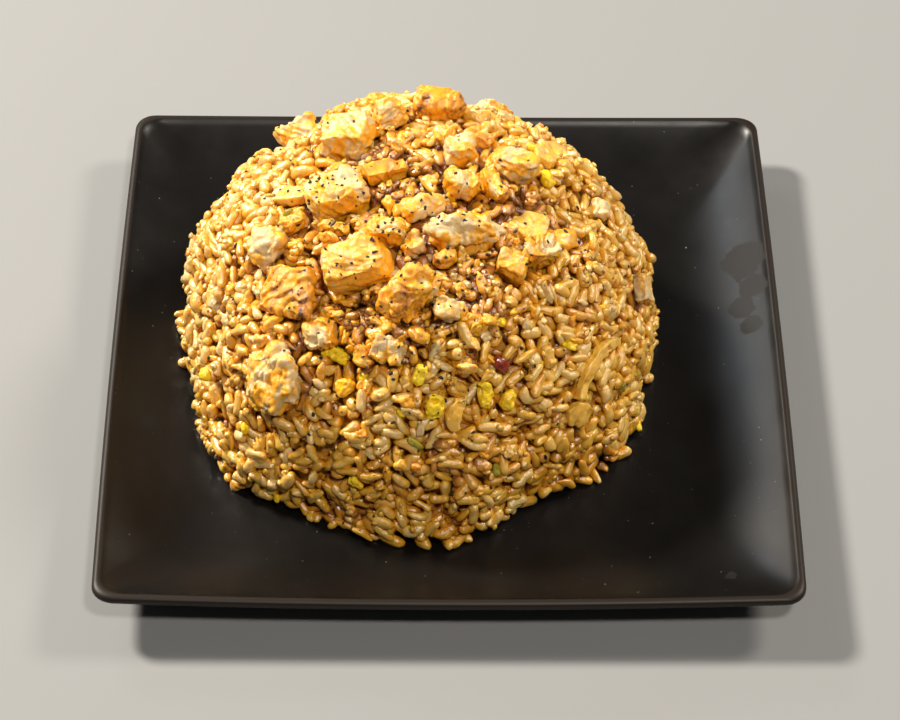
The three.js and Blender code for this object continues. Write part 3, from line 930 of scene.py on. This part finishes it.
# how browned, how lumpy and how stringy each piece is, and the side that the pan browned most
PAN_SIDE = {"right": (0.6, -0.7, -0.1), "under": (0.1, -0.5, -0.9), "front": (-0.1, -0.9, 0.2), "top": (0, -0.3, 1)}
CHICKEN = [
    (0.34, 0.4, 0.2, "right"),
    (0.22, 1.7, 0.2, "under"),
    (0.38, 1.2, 0.9, "front"),
    (0.2, 0.4, 0.5, "front"),
    (0.26, 0.5, 0.4, "right"),
    (0.26, 0.8, 0.7, "front"),
    (0.42, 0.7, 0.3, "top"),
    (0.3, 0.9, 0.4, "under"),
    (0.42, 0.3, 0.3, "top"),
    (0.3, 0.5, 0.2, "right"),
    (0.14, 0.4, 0.4, "right"),
    (0.42, 0.7, 0.5, "right"),
    (0.14, 0.4, 0.3, "top"),
    (0.24, 0.9, 0.4, "front"),
    (0.22, 0.9, 0.2, "top"),
    (0.38, 0.4, 0.2, "front"),
    (0.42, 0.8, 0.4, "top"),
    (0.36, 0.2, 0.3, "under"),
    (0.34, 0.2, 1.4, "under"),
    (0.46, 0.7, 0.7, "front"),
    (0.14, 0.9, 0.3, "under"),
    (0.1, 0.3, 0.2, "under"),
    (0.16, 1.2, 0.3, "top"),
    (0.24, 1.4, 0.6, "under"),
    (0.42, 0.4, 0.5, "front"),
    (0.12, 1.5, 0.2, "under"),
    (0.32, 0.3, 1.4, "front"),
    (0.24, 0.8, 0.7, "right"),
    (0.1, 1.1, 0.3, "under"),
    (0.44, 0.2, 0.2, "right"),
    (0.2, 0.9, 0.5, "right"),
    (0.08, 0.7, 0.2, "under"),
    (0.3, 0.8, 0.5, "right"),
    (0.35, 0.9, 0.5, "front"),
    (0.25, 1.0, 0.5, "under"),
    (0.3, 0.8, 0.6, "front"),
]


def edge_share(points, faces, rounds=10):
    """How far each point stands out of the smoothed form, so high along edges and low in creases."""
    pairs = np.concatenate([faces[:, [0, 1]], faces[:, [1, 2]], faces[:, [2, 3]], faces[:, [3, 0]]])
    degree = np.bincount(pairs.ravel(), minlength=len(points))[:, None]
    smooth = points
    for _ in range(rounds):
        total = np.zeros_like(points)
        np.add.at(total, pairs[:, 0], smooth[pairs[:, 1]])
        np.add.at(total, pairs[:, 1], smooth[pairs[:, 0]])
        smooth = total / degree
    return points - smooth


def make_chicken(material):
    rng = np.random.default_rng(41)
    for number, (browned, lumpy, stringy, side) in enumerate(CHICKEN, 1):
        node = f"chicken_{number:02d}"
        points, normals, faces = fine_copy(node, 0.5, 6)
        edges = (edge_share(points, faces) * normals).sum(1)
        fibre = unit(rng.normal(size=3))
        threads = along_grain(points, fibre, 5)
        flakes = flaky(points, fibre, threads, number + 99)
        streaks = lattice_noise(threads / 1.1, number + 150)
        form = 1.5 * rough_noise(points / 7, number + 400, 2)
        knobs = 1.7 * billow(points / 5.5, number) + 0.9 * billow(points / 2.6, number + 50)
        chips = np.minimum(0, 0.3 - lattice_noise(points / 3.2, number + 350))
        relief = form + lumpy * knobs + (0.3 + stringy) * (0.35 * streaks - 1.0 * flakes) + 1.6 * chips
        relief += 0.2 * lattice_noise(points / 1.2, number + 200)
        facing = normals @ unit(np.array(PAN_SIDE[side]))
        patches = 0.5 * rough_noise(points / 4.5, number + 250) + 0.12 * streaks + 0.14 * flakes
        sear = browned + 0.14 * np.maximum(0, facing) + patches + 0.3 * np.clip(edges, -0.4, 0.5)
        dressed(
            node + "_cooked", node, points + normals * relief[:, None], faces, material, {"sear": sear}
        )


def make_egg():
    rng = np.random.default_rng(43)
    material = egg_material()
    for number in range(1, 11):
        node = f"egg_{number:02d}"
        points, normals, faces = fine_copy(node, 0.35, 1)
        torn = np.minimum(0, 0.2 - lattice_noise(points / 2.2, number + 80))
        relief = 0.8 * rough_noise(points / 3.2, number) + 2.0 * torn + 0.2 * lattice_noise(points / 0.8, number + 40)
        fried = 0.3 * rough_noise(points / 3, number + 60) + rng.normal(0.12, 0.08) + (0.5 if number == 7 else 0)
        dressed(
            node + "_scrambled", node, points + normals * relief[:, None], faces, material, {"fried": fried}
        )


def make_onion_and_chilli():
    onion, chilli = onion_material(), chilli_material()
    for number in range(1, 8):
        node = f"onion_{number:02d}"
        points, normals, faces = fine_copy(node, 0.4, 2)
        torn = np.minimum(0, 0.3 - lattice_noise(points / 3, number + 80))
        ribs = lattice_noise(along_grain(points, (0.3, 0.4, 1), 6) / 1.3, number + 20)
        relief = 1.0 * rough_noise(points / 4.5, number) + 0.3 * ribs + 2.2 * torn
        dressed(node + "_fried", node, points + normals * relief[:, None], faces, onion, {})
    points, normals, faces = fine_copy("chilli", 0.3, 4)
    relief = 0.5 * billow(points / 2, 5)
    dressed("chilli_flake", "chilli", points + normals * relief[:, None], faces, chilli, {})


# ---------------------------------------------------------------- crumbs and pepper


class Surface:
    """What a ray from outside meets first on the dressed food. The plate is left out, or its rim would stop low rays."""

    def __init__(self):
        graph = bpy.context.evaluated_depsgraph_get()
        shown = [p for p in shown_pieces() if not p.hide_render and not p.name.startswith("plate")]
        self.trees = [(piece.name, BVHTree.FromObject(piece, graph)) for piece in shown]

    def seen_from(self, turn, climb):
        """Where a ray from this side to the middle of the mound's base lands: the place in millimetres, the normal
        there, the direction it came from and the name of the piece."""
        out = Vector((math.cos(turn) * math.cos(climb), math.sin(turn) * math.cos(climb), math.sin(climb)))
        middle = Vector((MOUND["x"], MOUND["y"], PLATE["well"])) * MM
        start = middle + out * 0.3
        hits = [(*tree.ray_cast(start, -out), name) for name, tree in self.trees]
        place, normal, _, _, name = min((hit for hit in hits if hit[0] is not None), key=lambda hit: hit[3])
        return np.array(place) / MM, np.array(normal), np.array(out), name

    def spots_on(self, directions, kind=""):
        """Place, normal and direction for each direction that meets the mound, on a piece of the kind, if one is
        given."""
        found = [self.seen_from(turn, climb) for turn, climb in directions]
        middle = np.array([MOUND["x"], MOUND["y"]])
        near = [spot for spot in found if np.linalg.norm(spot[0][:2] - middle) < MOUND["radius"] + 4]
        return [spot[:3] for spot in near if spot[3].startswith(kind)]


def ball_shape(steps):
    """An icosphere's points and triangles."""
    made = bmesh.new()
    bmesh.ops.create_icosphere(made, subdivisions=steps, radius=1)
    points = np.array([v.co[:] for v in made.verts])
    triangles = np.array([[v.index for v in f.verts] for f in made.faces])
    made.free()
    return points, triangles


def make_crumbs(name, spots, steps, material, seed, rough=0.35, sunk=0.2, values=None):
    """Small uneven lumps, each lying on the surface. A spot is (place, normal, length, width, thickness)."""
    rng = np.random.default_rng(seed)
    ball, triangles = ball_shape(steps)
    points, faces = [], []
    for number, (place, normal, length, width, thick) in enumerate(spots):
        across = rng.normal(size=3)
        x = unit(across - normal * (across @ normal))
        axes = np.stack([x, np.cross(normal, x), normal])
        lump = ball * (1 + rough * rough_noise(ball * 1.3 + 31.0 * number, seed, 2))[:, None]
        lump = lump * np.array([length, width, thick]) / 2
        points.append(lump @ axes + place + normal * thick * (0.5 - sunk))
        faces.append(triangles + number * len(ball))
    crumbs = mesh_object(name, np.concatenate(points), np.concatenate(faces), material)
    for key, value in (values or {}).items():
        set_point_values(crumbs, key, np.repeat(value, len(ball)))
    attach(crumbs, BODY)


# turn and climb in degrees, length and width
EGG_CRUMBS = [
    (-94, 35, 3, 2.6),
    (-41.5, 39, 5, 3),
    (-58, 51, 3.6, 2.7),
    (-22, 38, 5, 3),
    (-24, 2, 4.5, 3),
    (-38, 2, 5, 2.5),
    (-135, 18.5, 3.7, 3),
    (-129, 15.5, 4, 3),
    (-152, 22, 5, 4),
    (-106, 41, 5, 3.6),
    (-124, 3, 3, 2.5),
    (38, 56, 4, 3.4),
    (70, 30, 4, 3),
    (120, 25, 4, 3),
    (160, 12, 3.5, 3),
]
GREEN_BITS = [(-170, 61, 5.6, 3), (-70, 18, 3.7, 3), (-90, 28, 6, 2.6), (-28, 18.5, 4.4, 3), (60, 40, 4, 3)]
# dark crumbs from the pan: turn and climb of the middle, reach in degrees and how many
PAN_CRUMBS = [(-114, 54, 4, 90), (150, 84, 5, 80), (-60, 56, 4, 30), (-18, 47, 4, 25), (-90, 70, 14, 110)]
# small bits of chicken: turn and climb of the middle, reach in degrees and how many
CHICKEN_BITS = [(-100, 62, 14, 110), (-60, 60, 12, 50), (110, 78, 14, 50), (-150, 45, 12, 30), (-90, 35, 24, 30)]
# where the pepper lies: turn and climb of the middle, spread in degrees on the dome and how many
PEPPER = [(-120, 76, 16, 330), (-90, 55, 18, 90), (0, 68, 14, 60), (-90, 30, 38, 130), (90, 50, 40, 90)]


def spots_at(surface, table):
    return [
        (*surface.seen_from(math.radians(turn), math.radians(climb))[:2], length, width, 0.8 * width)
        for turn, climb, length, width in table
    ]


def spread_round(rng, turn, climb, spread, count):
    """Directions about a middle one, as turns and climbs in radians."""
    turn, climb, spread = (math.radians(v) for v in (turn, climb, spread))
    out = np.array([math.cos(turn) * math.cos(climb), math.sin(turn) * math.cos(climb), math.sin(climb)])
    drawn = unit(out + rng.normal(0, spread, (count, 3)))
    drawn = drawn[drawn[:, 2] > 0.03]
    return np.stack([np.arctan2(drawn[:, 1], drawn[:, 0]), np.arcsin(drawn[:, 2])], -1)


def make_bits(rice, chicken):
    surface = Surface()
    rng = np.random.default_rng(47)
    crumbs = spots_at(surface, EGG_CRUMBS)
    make_crumbs("egg_crumbs", crumbs, 3, egg_material(), 51, 0.5, 0.25, {"fried": np.full(len(crumbs), 0.15)})
    make_crumbs("green_bits", spots_at(surface, GREEN_BITS), 3, green_material(), 52, 0.4, 0.35)
    spots = []
    for turn, climb, spread, count in CHICKEN_BITS:
        for place, normal, _ in surface.spots_on(spread_round(rng, turn, climb, spread, count), "rice"):
            size = rng.uniform(1.6, 3.6)
            spots.append((place, normal, size * rng.uniform(1.1, 2), size, size * 0.8))
    sear = {"sear": np.clip(rng.normal(0.42, 0.13, len(spots)), 0.24, 0.8)}
    make_crumbs("chicken_bits", spots, 3, chicken, 57, 0.9, 0.3, sear)
    spots = []
    for turn, climb, spread, count in PAN_CRUMBS:
        for place, normal, _ in surface.spots_on(spread_round(rng, turn, climb, spread, count), "rice"):
            size = min(0.5 + 0.3 * rng.exponential(), 1.3)
            spots.append((place, normal, size * 1.5, size, size * 0.8))
    make_crumbs("pan_crumbs", spots, 2, crumb_material(), 53, 1.2, 0.3)
    spots = []
    for place, _, out in surface.spots_on(spread_round(rng, 0, 90, 70, 260), "rice"):
        size = rng.uniform(1.2, 2.8)
        spots.append((place - out * 0.8, out, size * 1.5, size, size * 0.7))
    make_crumbs("soy_bits", spots, 1, soy_material(), 54, 0.5, 0.5)
    spots = []
    for place, normal, _ in surface.spots_on(spread_round(rng, 0, 90, 70, 1300), "rice"):
        size = rng.uniform(1.1, 2.4)
        spots.append((place, normal, size * 1.4, size, size * 0.8))
    tones = np.clip(rng.normal(0.35, 0.2, len(spots)), 0, 0.9)
    make_crumbs("rice_bits", spots, 1, rice, 56, 0.5, 0.3, {"tone": tones})
    spots = []
    for turn, climb, spread, count in PEPPER:
        for place, normal, _ in surface.spots_on(spread_round(rng, turn, climb, spread, count)):
            if normal[2] < -0.1:
                continue
            size = min(0.55 + 0.35 * rng.exponential(), 1.3)
            spots.append((place, normal, size * rng.uniform(1, 1.6), size * rng.uniform(0.6, 1), size * 0.6))
    make_crumbs("pepper", spots, 1, pepper_material(), 55, 0.9, 0.15)


# ---------------------------------------------------------------- camera, floor and light


def make_camera():
    data = bpy.data.cameras.new("camera")
    data.lens = CAMERA["lens"]
    data.sensor_width = 36
    data.clip_end = 10
    camera = bpy.data.objects.new("camera", data)
    bpy.context.scene.collection.objects.link(camera)
    place = Vector(CAMERA["place"]) * MM
    sight = Vector(CAMERA["target"]) * MM - place
    turned = sight.to_track_quat("-Z", "Y").to_matrix().to_4x4()
    turned.translation = place
    camera.matrix_world = turned
    camera.rotation_euler.rotate_axis("Z", math.radians(CAMERA["roll"]))
    bpy.context.scene.camera = camera


def make_floor():
    s = Shader("floor", Base_Color=(0.26, 0.265, 0.27, 1), Roughness=0.8)
    size = 3000.0
    corners = np.array([[-size, -size, 0], [size, -size, 0], [size, size, 0], [-size, size, 0]])
    floor = mesh_object("floor", corners, np.array([[0, 1, 2, 3]]), s.material)
    floor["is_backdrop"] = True


def area_light(name, azimuth, elevation, distance, size, power, colour, tall=None):
    """A disk of light, or where tall is given a rectangle, that looks at the food: azimuth in degrees, 0 to the right
    and 90 behind."""
    data = bpy.data.lights.new(name, "AREA")
    data.shape = "RECTANGLE" if tall else "DISK"
    data.size = size
    data.size_y = tall or size
    data.energy = power
    data.color = colour
    light = bpy.data.objects.new(name, data)
    bpy.context.scene.collection.objects.link(light)
    turn, rise = math.radians(azimuth), math.radians(elevation)
    away = Vector((math.cos(turn) * math.cos(rise), math.sin(turn) * math.cos(rise), math.sin(rise)))
    light.location = away * distance + Vector((0, 0, 0.04))
    light.rotation_euler = away.to_track_quat("Z", "Y").to_euler()


def make_light():
    world = bpy.data.worlds.new("world")
    bpy.context.scene.world = world
    world.use_nodes = True
    background = world.node_tree.nodes["Background"]
    background.inputs[0].default_value = (1.0, 0.95, 0.88, 1)
    background.inputs[1].default_value = 0.05
    area_light("key", 150, 43, 1.6, 0.26, 46, (1.0, 0.92, 0.80))
    area_light("side", 25, 42, 1.6, 0.4, 16, (1.0, 0.92, 0.80))
    area_light("fill", -70, 60, 1.8, 0.18, 16, (1.0, 0.93, 0.85))
    area_light("window", 119, 33, 1.8, 0.55, 4, (0.88, 0.94, 1.0), 0.2)
    bpy.context.scene.view_settings.view_transform = "Standard"


make_camera()
make_floor()
make_light()
make_plate()
trees = piece_trees()
make_core()
rice = rice_material()
make_rice(trees, rice)
chicken = chicken_material()
make_chicken(chicken)
make_egg()
make_onion_and_chilli()
make_bits(rice, chicken)
